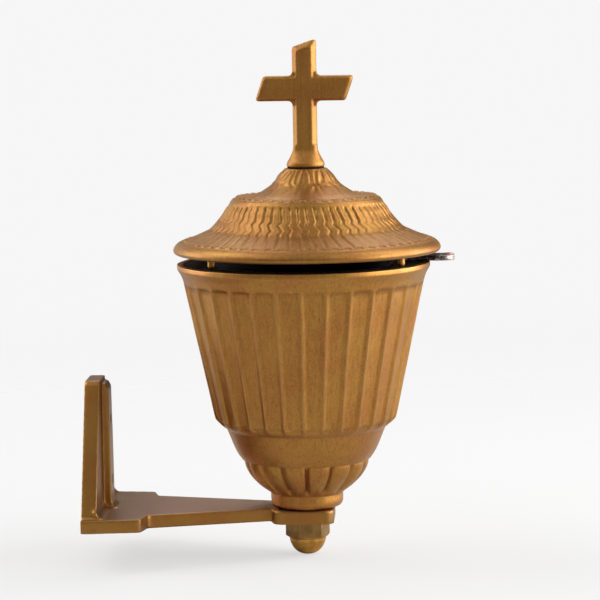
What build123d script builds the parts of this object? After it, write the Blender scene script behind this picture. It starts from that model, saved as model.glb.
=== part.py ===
"""Wall-mounted holy-water font in cast bronze.

A cast L-shaped bracket holds a fluted cup, clamped by one bolt and a cap nut. A black liner bowl
drops into the cup, a loose sprinkler lies in the liner with its handle over the rim, and a chased
lid with a cross finial stands on the liner's lip on three short pins.

Row frame: millimetres, +Z up, origin midway between the two screw holes, on the back face of the
wall plate. +X points away from the wall, towards the cup's axis.
Cup frame: origin on the cup's axis, at the top face of the bracket's arm. Every piece on or in the
cup is drawn there with z as its height above the arm, and moved to the row frame when written. The
lid and its fittings are drawn the same way about the lid's own axis, which stands a little off it.
"""
from build123d import *
import math
import os

# ---- bracket ----
REACH = 107.0                # wall face to cup axis
PLATE_HEIGHT = 70.0
PLATE_THICK = 7.5
PLATE_HALF_FOOT = 41.0       # half the plate's width at its foot
PLATE_HALF_TOP = 12.0
PLATE_EDGE = 1.0             # rounding of the casting's edges
ARM_THICK = 6.5
ARM_TOP = -PLATE_HEIGHT / 2 + ARM_THICK
SHOULDER_X = 27.5            # where the wide root of the arm ends
SHOULDER_HALF = 38.0
NECK_X = 32.5                # where the long taper starts
NECK_HALF = 26.5
ARM_TIP_X = 95.5             # inside the pad
ARM_TIP_HALF = 9.4
PAD_SIDE = 30.0
PAD_SHIFT = -1.6             # the pad's centre lies this far from the cup's axis
PAD_CORNER = 4.5
PAD_THICK = 6.7
PAD_DROP = 0.8               # the pad is faced this far below the arm's top
FACING_R = 16.7
NUT_SEAT = -PAD_DROP - PAD_THICK     # the pad's underside, in the cup frame
RIB_HALF = 7.0
RIB_PROUD = 4.0
RIB_TOP = PLATE_HEIGHT / 2 - 1.5
ROOT_WEB = 4.0               # radius of the concave web in the corner
SCREW_HOLE_R = 2.5
SCREW_SPACING = 30.0

# ---- clamp: M12 bolt and low cap nut ----
BOLT_R = 6.0
BOLT_HOLE_R = 6.25
HEX_M12 = 19.0               # across flats, the older DIN size
NUT_HEX_HEIGHT = 8.5
NUT_HEIGHT = 17.0
NUT_DOME_R = 9.0
NUT_TURN = 11.0              # degrees, as it was tightened
NUT_BORE_DEPTH = 12.0
BOLT_END_GAP = 1.0
BOLT_HEAD = 7.5
FOOT_GASKET = 0.4
FOOT_GASKET_R = 12.8         # inside the pad's edge on every side
CUP_FLOOR = 10.0
SEAL_THICK = 1.5
CLAMP_WASHER = 2.0
CLAMP_WASHER_R = 12.0

# ---- cup ----
FOOT_LOW = -PAD_DROP + FOOT_GASKET   # the cup's underside, on the gasket
FOOT_R = 17.7
FOOT_EDGE = 3.2
FOOT_TOP = 6.6
BOWL_TOP = (30.6, 23.0)      # radius, height
BAND_FOOT = (31.7, 23.9)     # lip of the band, which overhangs the lobed bowl
BAND_TOP = (38.9, 38.7)
CONE_FOOT = (44.4, 43.6)
CONE_TOP = (58.7, 111.5)
RIM_R = 61.5
RIM_LOW = 116.8
RIM_TOP = 119.5
BOWL_CURVE = [(22.6, 10.2), (26.6, 14.2), (29.2, 18.2)]
BAND_CURVE = [(34.1, 27.2), (36.7, 33.7)]
LEDGE_CURVE = [(40.8, 40.3), (42.7, 41.7)]
RIM_FLARE = (59.9, 114.2)
CAVITY_TOP = (54.3, 109.5)
CAVITY_FOOT = (41.0, 46.0)
CAVITY_CURVE = [(35.0, 37.5), (30.6, 27.0), (25.5, 18.0)]
CAVITY_FLOOR_R = 16.0
FLUTES = 30
FLUTE_DEPTH = 0.9
FLUTE_SHARE = 0.86           # of the pitch, the rest is the ridge between two flutes

# ---- liner bowl ----
SEAT_R = 58.5                # rebate in the cup's mouth
SEAT_Z = 115.5
SEAT_INNER_R = 55.3
LINER_R = 58.2
LINER_LIP = 2.0
LINER_MOUTH_R = 50.0
LINER_NECK_Z = 112.0         # where the wall meets the flared mouth
LINER_KNEE_OUT = (40.5, 62.0)
LINER_KNEE_IN = (38.5, 62.5)
LINER_CURVE_OUT = (37.0, 53.5)
LINER_CURVE_IN = (35.2, 55.0)
LINER_BASE_R = 28.0
LINER_FLOOR = 50.0
LINER_WALL = 2.0

# ---- lid ----
LID_R = 65.0
LID_LOW = 124.2
LID_INNER_R = 60.3
LID_ROLL_R = 62.6
LID_ROLL_WIDEST = 126.3
LID_ROLL_TOP = 129.8
LID_LOWER_CURVE = [(58.3, 131.2), (50.5, 134.6), (45.4, 138.0), (40.5, 144.0), (37.8, 148.0)]
LID_UPPER_CURVE = [(19.6, 155.4), (14.6, 159.7)]
LID_VAULT = [(8.6, 161.5), (14.2, 155.8), (23.5, 149.4)]
LID_SHELF_END = (32.4, 148.6)
LID_SKIRT_INSIDE = [(37.6, 142.5), (43.5, 135.4), (52.0, 130.7)]
LID_SKIRT_FOOT = (60.0, 127.8)
LID_NECK_R = 10.2
LID_NECK_TOP = 165.1
LID_CROWN = 161.5            # underside of the neck
LID_SHIFT = 1.8              # the loose lid stands this far off the cup's axis, away from the wall
SHOULDER_EDGE = (34.9, 151.5)
SHOULDER_INNER = (25.7, 152.1)
PIN_RING_R = 55.5
PIN_R = 1.7
PIN_TOP = 130.6
PIN_ANGLES = (-142.7, -34.0, 90.0)   # clear of the sprinkler handle's sweep

# ---- cross finial: M6 stud ----
FINIAL_GASKET = 0.7
FOOT_FLARE_R = 9.3
CROSS_FOOT = LID_NECK_TOP + FINIAL_GASKET
CROSS_NECK_R = 5.7
CROSS_NECK_Z = 174.3
CROSS_TOP_LEFT = 223.5
CROSS_TOP_RIGHT = 227.6
POST_HALF = 5.85
POST_DEPTH = 9.0
CROSS_BEVEL = 2.3
BAR_LOW = 197.6
BAR_HIGH = 209.7
BAR_LONG = 24.0              # from the axis to the long corner of each end
BAR_SHORT = 19.8             # to the short corner
STUD_R = 3.0
STUD_HOLE_R = 3.2
STUD_GRIP = 13.0             # stud length inside the cross
HEX_M6 = 10.0
FINIAL_NUT = 5.0
FINIAL_WASHER = 1.2
FINIAL_WASHER_R = 7.0

# ---- sprinkler ----
HANDLE_LOW = RIM_TOP + 0.3
GRIP_TIP = 73.3              # from the cup's axis
GRIP_FOOT = 55.0
GRIP_FLARE_X = 61.0          # where the grip has nearly its full width
GRIP_ROUND = 6.5             # how far the tip bulges
GRIP_HALF = 8.5
GRIP_THICK = 2.8
STRIP_HALF = 4.5
STRIP_THICK = 1.4
CRANK_X = 45.0               # where the strip turns down into the bowl
CRANK_ANGLE = 50.0
CRANK_LENGTH = 61.0
CRANK_RADIUS = 5.0
EYELET_X = 70.0
EYELET_R = 1.6
EYELET_FLANGE_R = 2.6
EYELET_FLANGE = 0.4
EYELET_BORE_R = 1.1
FERRULE_R = 5.6
FERRULE_LENGTH = 14.0
FERRULE_SOCKET = 6.0
BALL_R = 10.0
BALL_WALL = 1.2
BALL_NECK = 1.0              # how far the ball is flattened against the ferrule
SPONGE_GAP = 0.2
SPRAY_HOLE_R = 0.9
SPRAY_ROWS = ((0.0, 1), (28.0, 6), (54.0, 12))   # angle from the ball's tip, number of holes

ON_ARM = Location((REACH, 0, ARM_TOP))
LID_ON_ARM = Location((REACH + LID_SHIFT, 0, ARM_TOP))


def rz(*points):
    """Radius and height pairs as points of the XZ plane."""
    return [(r, 0, z) for r, z in points]


def turned(*edges):
    """Revolve a closed outline, given as edges in the XZ plane, about the cup's axis."""
    return revolve(make_face(Curve() + list(edges)), axis=Axis.Z)


def ring(outer, inner, low, high):
    """Flat ring or short tube on the axis."""
    tube = Cylinder(outer, high - low) - Cylinder(inner, high - low)
    return Pos(0, 0, (low + high) / 2) * tube


def rod(radius, low, high):
    """Round bar on the axis."""
    return Pos(0, 0, (low + high) / 2) * Cylinder(radius, high - low)


def hexagon(across_flats, low, high, turn=0.0):
    """Hexagonal bar on the axis, with its first corner turned from +X by some degrees."""
    outline = Rot(0, 0, turn) * RegularPolygon(across_flats / 2, 6, major_radius=False)
    return Pos(0, 0, low) * extrude(outline, high - low)


# ---------------------------------------------------------------- bracket

def plate_blank():
    """Tapered wall plate, extruded away from the wall."""
    half = PLATE_HEIGHT / 2
    face = Plane.YZ * Polygon(
        (-PLATE_HALF_FOOT, -half), (PLATE_HALF_FOOT, -half), (PLATE_HALF_TOP, half), (-PLATE_HALF_TOP, half),
        align=None)
    blank = extrude(face, PLATE_THICK)
    upright = blank.edges().filter_by(Axis.X).group_by(Axis.Z)[-1]
    return fillet(upright, PLATE_EDGE * 2)


def arm_blank():
    """Arm with a wide root, an S-shaped shoulder and a long taper to the faced pad."""
    middle_x = (SHOULDER_X + NECK_X) / 2
    middle_half = (SHOULDER_HALF + NECK_HALF) / 2

    def side(sign):
        return [
            Line((0, sign * PLATE_HALF_FOOT), (SHOULDER_X, sign * SHOULDER_HALF)),
            Spline(
                (SHOULDER_X, sign * SHOULDER_HALF), (middle_x, sign * middle_half), (NECK_X, sign * NECK_HALF),
                tangents=((1, 0), (1, 0))),
            Line((NECK_X, sign * NECK_HALF), (ARM_TIP_X, sign * ARM_TIP_HALF)),
        ]

    ends = [
        Line((0, -PLATE_HALF_FOOT), (0, PLATE_HALF_FOOT)),
        Line((ARM_TIP_X, -ARM_TIP_HALF), (ARM_TIP_X, ARM_TIP_HALF)),
    ]
    taper = extrude(make_face(Curve() + side(1) + side(-1) + ends), ARM_THICK)
    pad = Pos(REACH + PAD_SHIFT, 0, 0) * extrude(RectangleRounded(PAD_SIDE, PAD_SIDE, PAD_CORNER), PAD_THICK)
    blank = Pos(0, 0, ARM_TOP - ARM_THICK) * taper + Pos(0, 0, ARM_TOP + NUT_SEAT) * pad
    facing_cut = Pos(REACH, 0, ARM_TOP - PAD_DROP) * Cylinder(
        FACING_R, ARM_THICK, align=(Align.CENTER, Align.CENTER, Align.MIN))
    return blank - facing_cut


def root_web(face_x, half_width):
    """Concave web in the corner between the arm and an upright face."""
    corner = (Align.MIN, Align.CENTER, Align.MIN)
    web = Box(ROOT_WEB, 2 * half_width, ROOT_WEB, align=corner)
    web -= Pos(ROOT_WEB, 0, ROOT_WEB) * Rot(90, 0, 0) * Cylinder(ROOT_WEB, 3 * half_width)
    return Pos(face_x, 0, ARM_TOP) * web


def wall_bracket():
    """One casting: wall plate, screw rib and arm with the cup's pad."""
    rib = Pos(PLATE_THICK, 0, 0) * Box(
        2 * RIB_PROUD, 2 * RIB_HALF, RIB_TOP - ARM_TOP + 2, align=(Align.CENTER, Align.CENTER, Align.MAX))
    rib = Pos(0, 0, RIB_TOP) * rib
    rib = chamfer(rib.edges().filter_by(Axis.Y).group_by(Axis.Z)[-1].sort_by(Axis.X)[-1], RIB_PROUD * 0.5)
    casting = plate_blank() + arm_blank() + rib
    casting += root_web(PLATE_THICK, SHOULDER_HALF)
    casting += root_web(PLATE_THICK + RIB_PROUD, RIB_HALF)
    for sign in (-1, 1):
        hole = Rot(0, 90, 0) * Cylinder(SCREW_HOLE_R, 6 * PLATE_THICK)
        casting -= Pos(0, 0, sign * SCREW_SPACING / 2) * hole
    casting -= Pos(REACH, 0, ARM_TOP) * Cylinder(BOLT_HOLE_R, 4 * ARM_THICK)
    return casting


# ---------------------------------------------------------------- clamp, in the cup frame

def foot_gasket():
    return ring(FOOT_GASKET_R, BOLT_HOLE_R, -PAD_DROP, FOOT_LOW)


def inner_seal():
    return ring(CLAMP_WASHER_R, BOLT_R, CUP_FLOOR, CUP_FLOOR + SEAL_THICK)


def inner_washer():
    low = CUP_FLOOR + SEAL_THICK
    return ring(CLAMP_WASHER_R, BOLT_R + 0.5, low, low + CLAMP_WASHER)


def clamp_bolt():
    """Hexagon-head bolt through the cup's foot and the arm, down into the cap nut."""
    head_low = CUP_FLOOR + SEAL_THICK + CLAMP_WASHER
    shank_end = NUT_SEAT - NUT_BORE_DEPTH + BOLT_END_GAP
    bolt = hexagon(HEX_M12, head_low, head_low + BOLT_HEAD) + rod(BOLT_R, shank_end, head_low)
    return chamfer(bolt.edges().group_by(Axis.Z)[0], 1.0)


def cap_nut():
    """Low acorn nut: hexagon, then a dome on a short cylinder."""
    top = NUT_SEAT
    dome_start = top - NUT_HEX_HEIGHT
    hexed = hexagon(HEX_M12, dome_start, top, NUT_TURN)
    corner_r = HEX_M12 / math.sqrt(3)
    turned_hex = turned(
        Polyline(*rz((0, top), (corner_r - 1.1, top), (corner_r, top - 0.7), (corner_r, dome_start + 1.2),
                     (corner_r - 1.8, dome_start), (0, dome_start), (0, top))))
    dome_low = top - NUT_HEIGHT
    dome = turned(
        Line(*rz((0, dome_start), (NUT_DOME_R, dome_start))),
        Line(*rz((NUT_DOME_R, dome_start), (NUT_DOME_R, dome_start - 1.5))),
        Spline(*rz((NUT_DOME_R, dome_start - 1.5), (NUT_DOME_R * 0.72, dome_low + 2.3), (0, dome_low)),
               tangents=((0, 0, -1), (-1, 0, 0))),
        Line(*rz((0, dome_low), (0, dome_start))))
    return (hexed & turned_hex) + dome - rod(BOLT_R, top - NUT_BORE_DEPTH, top)


# ---------------------------------------------------------------- cup and liner

def cup_blank():
    """Cast cup before its flutes are cut: foot, bowl, band, cone and moulded rim."""
    arc_inset = FOOT_EDGE * (1 - math.cos(math.radians(45)))
    outside = [
        Line(*rz((BOLT_HOLE_R, FOOT_LOW), (FOOT_R - FOOT_EDGE, FOOT_LOW))),
        ThreePointArc(*rz((FOOT_R - FOOT_EDGE, FOOT_LOW), (FOOT_R - arc_inset, FOOT_LOW + arc_inset),
                          (FOOT_R, FOOT_LOW + FOOT_EDGE))),
        Line(*rz((FOOT_R, FOOT_LOW + FOOT_EDGE), (FOOT_R, FOOT_TOP))),
        Spline(*rz((FOOT_R, FOOT_TOP), *BOWL_CURVE, BOWL_TOP)),
        Line(*rz(BOWL_TOP, BAND_FOOT)),
        Spline(*rz(BAND_FOOT, *BAND_CURVE, BAND_TOP)),
        Spline(*rz(BAND_TOP, *LEDGE_CURVE, CONE_FOOT)),
        Line(*rz(CONE_FOOT, CONE_TOP)),
        Spline(*rz(CONE_TOP, RIM_FLARE, (RIM_R, RIM_LOW))),
        Line(*rz((RIM_R, RIM_LOW), (RIM_R, RIM_TOP))),
    ]
    inside = [
        Polyline(*rz((RIM_R, RIM_TOP), (SEAT_R, RIM_TOP), (SEAT_R, SEAT_Z), (SEAT_INNER_R, SEAT_Z),
                     CAVITY_TOP)),
        Line(*rz(CAVITY_TOP, CAVITY_FOOT)),
        Spline(*rz(CAVITY_FOOT, *CAVITY_CURVE, (CAVITY_FLOOR_R, CUP_FLOOR))),
        Polyline(*rz((CAVITY_FLOOR_R, CUP_FLOOR), (BOLT_HOLE_R, CUP_FLOOR), (BOLT_HOLE_R, FOOT_LOW))),
    ]
    return turned(*outside, *inside)


def flute_cutter():
    """Tapered round bar that cuts one shallow flute up the cone, on the -Y side."""
    run = math.dist(CONE_FOOT, CONE_TOP)
    lean = math.degrees(math.atan2(CONE_TOP[0] - CONE_FOOT[0], run))

    def bar_radius(cup_radius):
        half_chord = math.pi * cup_radius / FLUTES * FLUTE_SHARE
        return (half_chord ** 2 + FLUTE_DEPTH ** 2) / (2 * FLUTE_DEPTH)

    low_r = bar_radius(CONE_FOOT[0])
    high_r = bar_radius(CONE_TOP[0])
    bar = Pos(0, -low_r, 0) * Cone(low_r, high_r, run, align=(Align.CENTER, Align.CENTER, Align.MIN))
    taper = math.degrees(math.atan2(high_r - low_r, run))
    on_wall = Pos(0, -CONE_FOOT[0], CONE_FOOT[1]) * Rot(lean, 0, 0)
    return on_wall * Pos(0, FLUTE_DEPTH, 0) * Rot(taper, 0, 0) * bar


def cup():
    body = cup_blank()
    cutter = flute_cutter()
    for index in range(FLUTES):
        body -= Rot(0, 0, (index + 0.5) * 360 / FLUTES) * cutter
    return body


def liner():
    """Black bowl hung by its flanged lip, flush with the cup's rim."""
    base = LINER_FLOOR - LINER_WALL
    lip_low = RIM_TOP - LINER_LIP
    hang_r = SEAT_INNER_R + 0.5
    neck_out = (LINER_MOUTH_R + 1.2, LINER_NECK_Z)
    neck_in = (LINER_MOUTH_R - 0.9, LINER_NECK_Z)
    outside = [
        Polyline(*rz((LINER_MOUTH_R, RIM_TOP), (LINER_R, RIM_TOP), (LINER_R, SEAT_Z), (hang_r, SEAT_Z),
                     (hang_r, lip_low), (LINER_MOUTH_R + LINER_WALL + 0.8, lip_low), neck_out)),
        Line(*rz(neck_out, LINER_KNEE_OUT)),
        Spline(*rz(LINER_KNEE_OUT, LINER_CURVE_OUT, (LINER_BASE_R, base)),
               tangents=((-0.2, 0, -1), (-1, 0, 0))),
        Line(*rz((LINER_BASE_R, base), (0, base))),
    ]
    inside = [
        Line(*rz((0, base), (0, LINER_FLOOR))),
        Line(*rz((0, LINER_FLOOR), (LINER_BASE_R - 1, LINER_FLOOR))),
        Spline(*rz((LINER_BASE_R - 1, LINER_FLOOR), LINER_CURVE_IN, LINER_KNEE_IN),
               tangents=((1, 0, 0), (0.2, 0, 1))),
        Polyline(*rz(LINER_KNEE_IN, neck_in, (LINER_MOUTH_R, RIM_TOP))),
    ]
    return turned(*outside, *inside)


# ---------------------------------------------------------------- lid

def lid():
    """Two-tier lid shell with a rolled rim, open below."""
    rolled = [
        Line(*rz((LID_INNER_R, LID_LOW), (LID_ROLL_R, LID_LOW))),
        Spline(*rz((LID_ROLL_R, LID_LOW), (LID_R, LID_ROLL_WIDEST)), tangents=((1, 0, 0), (0, 0, 1))),
        Spline(*rz((LID_R, LID_ROLL_WIDEST), (LID_ROLL_R, LID_ROLL_TOP)), tangents=((0, 0, 1), (-1, 0, 0.35))),
    ]
    tiers = [
        Spline(*rz((LID_ROLL_R, LID_ROLL_TOP), *LID_LOWER_CURVE, SHOULDER_EDGE)),
        Line(*rz(SHOULDER_EDGE, SHOULDER_INNER)),
        Spline(*rz(SHOULDER_INNER, *LID_UPPER_CURVE, (LID_NECK_R, LID_NECK_TOP))),
    ]
    bore = [
        Polyline(*rz((LID_NECK_R, LID_NECK_TOP), (STUD_HOLE_R, LID_NECK_TOP), (STUD_HOLE_R, LID_CROWN),
                     LID_VAULT[0])),
    ]
    inside = [
        Spline(*rz(*LID_VAULT)),
        Line(*rz(LID_VAULT[-1], LID_SHELF_END)),
        Spline(*rz(LID_SHELF_END, *LID_SKIRT_INSIDE, LID_SKIRT_FOOT)),
        Line(*rz(LID_SKIRT_FOOT, (LID_INNER_R, LID_LOW))),
    ]
    shell = turned(*rolled, *tiers, *bore, *inside)
    for angle in PIN_ANGLES:
        shell -= Rot(0, 0, angle) * Pos(PIN_RING_R, 0, 0) * rod(PIN_R, LID_LOW, PIN_TOP)
    return shell


def lid_pin(angle):
    """Round-ended pin pressed up into the lid. It stands on the liner's lip."""
    pin = rod(PIN_R, RIM_TOP, PIN_TOP)
    pin = fillet(pin.edges().group_by(Axis.Z)[0], PIN_R * 0.6)
    return Rot(0, 0, angle) * Pos(PIN_RING_R, 0, 0) * pin


# ---------------------------------------------------------------- finial

def finial_gasket():
    return ring(FOOT_FLARE_R - 0.4, STUD_R, LID_NECK_TOP, CROSS_FOOT)


def cross_finial():
    """Latin cross with slanted ends and bevelled edges on a flared round foot."""
    outline = Polygon(
        (-POST_HALF, CROSS_NECK_Z - 2), (POST_HALF, CROSS_NECK_Z - 2),
        (POST_HALF, BAR_LOW), (BAR_SHORT, BAR_LOW), (BAR_LONG, BAR_HIGH), (POST_HALF, BAR_HIGH),
        (POST_HALF, CROSS_TOP_RIGHT), (-POST_HALF, CROSS_TOP_LEFT),
        (-POST_HALF, BAR_HIGH), (-BAR_SHORT, BAR_HIGH), (-BAR_LONG, BAR_LOW), (-POST_HALF, BAR_LOW),
        align=None)
    slab = extrude(Plane.XZ * outline, POST_DEPTH / 2, both=True)
    rims = [edge for edge in slab.edges() if abs(abs(edge.center().Y) - POST_DEPTH / 2) < 0.01]
    slab = chamfer(rims, CROSS_BEVEL)
    flare = turned(
        Polyline(*rz((CROSS_NECK_R, CROSS_NECK_Z), (0, CROSS_NECK_Z), (0, CROSS_FOOT),
                     (FOOT_FLARE_R, CROSS_FOOT), (FOOT_FLARE_R, CROSS_FOOT + 1.2))),
        Spline(*rz((FOOT_FLARE_R, CROSS_FOOT + 1.2), (7.4, CROSS_FOOT + 4.6), (CROSS_NECK_R, CROSS_NECK_Z)),
               tangents=((-0.2, 0, 1), (-0.15, 0, 1))))
    return slab + flare - rod(STUD_R, CROSS_FOOT, CROSS_FOOT + STUD_GRIP)


def finial_washer():
    return ring(FINIAL_WASHER_R, STUD_R + 0.2, LID_CROWN - FINIAL_WASHER, LID_CROWN)


def finial_nut():
    top = LID_CROWN - FINIAL_WASHER
    return hexagon(HEX_M6, top - FINIAL_NUT, top) - rod(STUD_R, top - FINIAL_NUT, top)


def finial_stud():
    low = LID_CROWN - FINIAL_WASHER - FINIAL_NUT - 2
    return rod(STUD_R, low, CROSS_FOOT + STUD_GRIP)


# ---------------------------------------------------------------- sprinkler

CRANK_Z = HANDLE_LOW + STRIP_THICK / 2
CRANK_END = (
    CRANK_X - CRANK_LENGTH * math.cos(math.radians(CRANK_ANGLE)),
    CRANK_Z - CRANK_LENGTH * math.sin(math.radians(CRANK_ANGLE)))
# Along the crank: local +Z runs down the strip, from its end on into the ferrule and the ball.
DOWN_CRANK = Location((CRANK_END[0], 0, CRANK_END[1]), (0, -90 - CRANK_ANGLE, 0))
BALL_CENTRE = FERRULE_LENGTH - FERRULE_SOCKET + BALL_R - BALL_NECK


def sprinkler_handle():
    """Flat steel handle: a wide rounded grip over the rim, then a strip cranked down into the bowl."""
    arc_x = GRIP_TIP - GRIP_ROUND
    flare_half = GRIP_HALF - 1
    outline = [
        Spline((GRIP_FOOT, -STRIP_HALF), (GRIP_FLARE_X, -flare_half), (arc_x, -GRIP_HALF),
               tangents=((1, 0), (1, 0))),
        ThreePointArc((arc_x, -GRIP_HALF), (GRIP_TIP, 0), (arc_x, GRIP_HALF)),
        Spline((arc_x, GRIP_HALF), (GRIP_FLARE_X, flare_half), (GRIP_FOOT, STRIP_HALF),
               tangents=((-1, 0), (-1, 0))),
        Line((GRIP_FOOT, STRIP_HALF), (GRIP_FOOT, -STRIP_HALF)),
    ]
    grip = extrude(make_face(Curve() + outline), GRIP_THICK)
    start_x = GRIP_FOOT + 2
    route = FilletPolyline((start_x, 0, CRANK_Z), (CRANK_X, 0, CRANK_Z), (CRANK_END[0], 0, CRANK_END[1]),
                           radius=CRANK_RADIUS)
    section = Plane(origin=(start_x, 0, CRANK_Z), z_dir=(-1, 0, 0), x_dir=(0, 1, 0))
    strip = sweep(section * Rectangle(2 * STRIP_HALF, STRIP_THICK), path=route)
    handle = strip + Pos(0, 0, HANDLE_LOW) * grip
    return handle - Pos(EYELET_X, 0, HANDLE_LOW) * Cylinder(EYELET_R, 4 * GRIP_THICK)


def handle_eyelet():
    """Flanged copper eyelet in the grip."""
    top = GRIP_THICK + EYELET_FLANGE
    barrel = ring(EYELET_R, EYELET_BORE_R, 0, GRIP_THICK)
    flange = ring(EYELET_FLANGE_R, EYELET_BORE_R, GRIP_THICK, top)
    return Pos(EYELET_X, 0, HANDLE_LOW) * (barrel + flange)


def sprinkler_ferrule():
    """Round socket on the strip's end."""
    low = -FERRULE_SOCKET
    high = FERRULE_LENGTH - FERRULE_SOCKET
    slot = Box(STRIP_THICK, 2 * STRIP_HALF, FERRULE_SOCKET, align=(Align.CENTER, Align.CENTER, Align.MAX))
    return DOWN_CRANK * (rod(FERRULE_R, low, high) - slot)


def ball_shell():
    return Sphere(BALL_R) - Sphere(BALL_R - BALL_WALL)


def sprinkler_head_upper():
    """Plain half of the hollow ball, joined to the ferrule's end face."""
    keep = Pos(0, 0, -BALL_R) * Box(3 * BALL_R, 3 * BALL_R, 2 * BALL_R)
    half = ball_shell() & keep
    cut = Box(3 * BALL_R, 3 * BALL_R, BALL_R, align=(Align.CENTER, Align.CENTER, Align.MAX))
    return DOWN_CRANK * Pos(0, 0, BALL_CENTRE) * (half - Pos(0, 0, -BALL_R + BALL_NECK) * cut)


def sprinkler_head_lower():
    """Half of the ball drilled with rings of spray holes."""
    keep = Pos(0, 0, BALL_R) * Box(3 * BALL_R, 3 * BALL_R, 2 * BALL_R)
    half = ball_shell() & keep
    drill = Cylinder(SPRAY_HOLE_R, BALL_R * 2, align=(Align.CENTER, Align.CENTER, Align.MIN))
    for tilt, count in SPRAY_ROWS:
        for index in range(count):
            half -= Rot(0, 0, index * 360 / count) * Rot(0, tilt, 0) * drill
    return DOWN_CRANK * Pos(0, 0, BALL_CENTRE) * half


def sprinkler_sponge():
    """Wet sponge that fills the ball."""
    ball = Sphere(BALL_R - BALL_WALL - SPONGE_GAP)
    return DOWN_CRANK * Pos(0, 0, BALL_CENTRE) * ball


# ---------------------------------------------------------------- writing

def all_pieces():
    """Every piece by its node name, in the row frame."""
    in_cup_frame = {
        "foot_gasket": foot_gasket(),
        "cup": cup(),
        "inner_seal": inner_seal(),
        "inner_washer": inner_washer(),
        "clamp_bolt": clamp_bolt(),
        "cap_nut": cap_nut(),
        "liner": liner(),
        "sprinkler_handle": sprinkler_handle(),
        "handle_eyelet": handle_eyelet(),
        "sprinkler_ferrule": sprinkler_ferrule(),
        "sprinkler_head_upper": sprinkler_head_upper(),
        "sprinkler_head_lower": sprinkler_head_lower(),
        "sprinkler_sponge": sprinkler_sponge(),
    }
    about_lid_axis = {
        "lid": lid(),
        "finial_gasket": finial_gasket(),
        "cross_finial": cross_finial(),
        "finial_washer": finial_washer(),
        "finial_nut": finial_nut(),
        "finial_stud": finial_stud(),
    }
    for number, angle in enumerate(PIN_ANGLES, start=1):
        about_lid_axis[f"lid_pin_{number}"] = lid_pin(angle)
    pieces = {name: ON_ARM * shape for name, shape in in_cup_frame.items()}
    pieces.update({name: LID_ON_ARM * shape for name, shape in about_lid_axis.items()})
    pieces["wall_bracket"] = wall_bracket()
    return pieces


os.makedirs("parts", exist_ok=True)
for node, shape in all_pieces().items():
    export_step(shape, f"parts/{node}.step")
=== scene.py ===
"""Looks of a wall-mounted holy-water font in cast bronze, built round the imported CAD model.

Lathe outlines are drawn in the cup frame: millimetres, origin on the cup's axis at the top face of
the bracket's arm. The lid's pieces are drawn the same way about the lid's own axis. The bracket is
drawn in the row frame, in millimetres. Blender itself is in metres.
"""
import math

import bmesh
import bpy
import numpy as np
from mathutils import Matrix, Vector


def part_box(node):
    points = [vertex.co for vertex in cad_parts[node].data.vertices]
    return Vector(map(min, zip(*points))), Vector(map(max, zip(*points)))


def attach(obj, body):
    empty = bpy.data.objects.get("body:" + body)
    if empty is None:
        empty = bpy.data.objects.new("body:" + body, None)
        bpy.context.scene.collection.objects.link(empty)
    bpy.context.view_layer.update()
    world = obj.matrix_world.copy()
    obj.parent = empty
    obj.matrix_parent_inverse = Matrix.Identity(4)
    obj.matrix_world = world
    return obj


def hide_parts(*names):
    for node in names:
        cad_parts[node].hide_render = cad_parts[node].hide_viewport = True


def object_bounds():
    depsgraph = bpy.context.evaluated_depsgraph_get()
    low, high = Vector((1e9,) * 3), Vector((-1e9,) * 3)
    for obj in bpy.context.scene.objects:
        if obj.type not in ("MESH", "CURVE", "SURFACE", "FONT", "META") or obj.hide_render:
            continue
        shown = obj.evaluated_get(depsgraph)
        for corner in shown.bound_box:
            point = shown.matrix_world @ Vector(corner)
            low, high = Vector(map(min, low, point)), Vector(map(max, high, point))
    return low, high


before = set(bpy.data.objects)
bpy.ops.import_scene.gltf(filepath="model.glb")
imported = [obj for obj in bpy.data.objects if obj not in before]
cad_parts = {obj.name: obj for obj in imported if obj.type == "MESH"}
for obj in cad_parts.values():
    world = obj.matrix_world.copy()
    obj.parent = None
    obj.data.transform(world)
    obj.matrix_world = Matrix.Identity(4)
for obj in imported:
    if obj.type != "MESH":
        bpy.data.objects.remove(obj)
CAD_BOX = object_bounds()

MM = 0.001
CUP_LOW, CUP_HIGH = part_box("cup")
AXIS_X = (CUP_LOW[0] + CUP_HIGH[0]) / 2 / MM
PAD_DROP = 0.8               # how far the pad is faced below the arm's top
ARM_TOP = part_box("foot_gasket")[0][2] / MM + PAD_DROP
LID_LOW, LID_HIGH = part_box("lid")
LID_AXIS_X = (LID_LOW[0] + LID_HIGH[0]) / 2 / MM
ON_ARM = np.array([AXIS_X, 0.0, ARM_TOP])
ON_ARM_UNDER_LID = np.array([LID_AXIS_X, 0.0, ARM_TOP])

# ---- counts round the axis ----
FLUTES = 30
LOBES = 15
RIPPLES = 60
SHOULDER_NICKS = 40
NECK_STREAKS = 22

SEED = 11
PRISM_EDGE = 6               # how sharply a turned outline changes into a prism's flats, per mm


# ================ outlines and lathes

def smooth_run(points, step):
    """Points on a Catmull-Rom curve through the given ones, about step apart."""
    points = np.array(points, dtype=float)
    if len(points) == 2:
        count = max(2, int(math.ceil(math.dist(*points) / step)) + 1)
        return np.linspace(points[0], points[1], count)
    before = 2 * points[0] - points[1]
    after = 2 * points[-1] - points[-2]
    knots = np.vstack([before, points, after])
    run = [points[0]]
    for a, b, c, d in zip(knots, knots[1:], knots[2:], knots[3:]):
        count = max(2, int(math.ceil(math.dist(b, c) / step)))
        for t in np.arange(1, count + 1) / count:
            run.append(0.5 * (2 * b + (c - a) * t + (2 * a - 5 * b + 4 * c - d) * t ** 2
                              + (3 * b - a - 3 * c + d) * t ** 3))
    return np.array(run)


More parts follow.
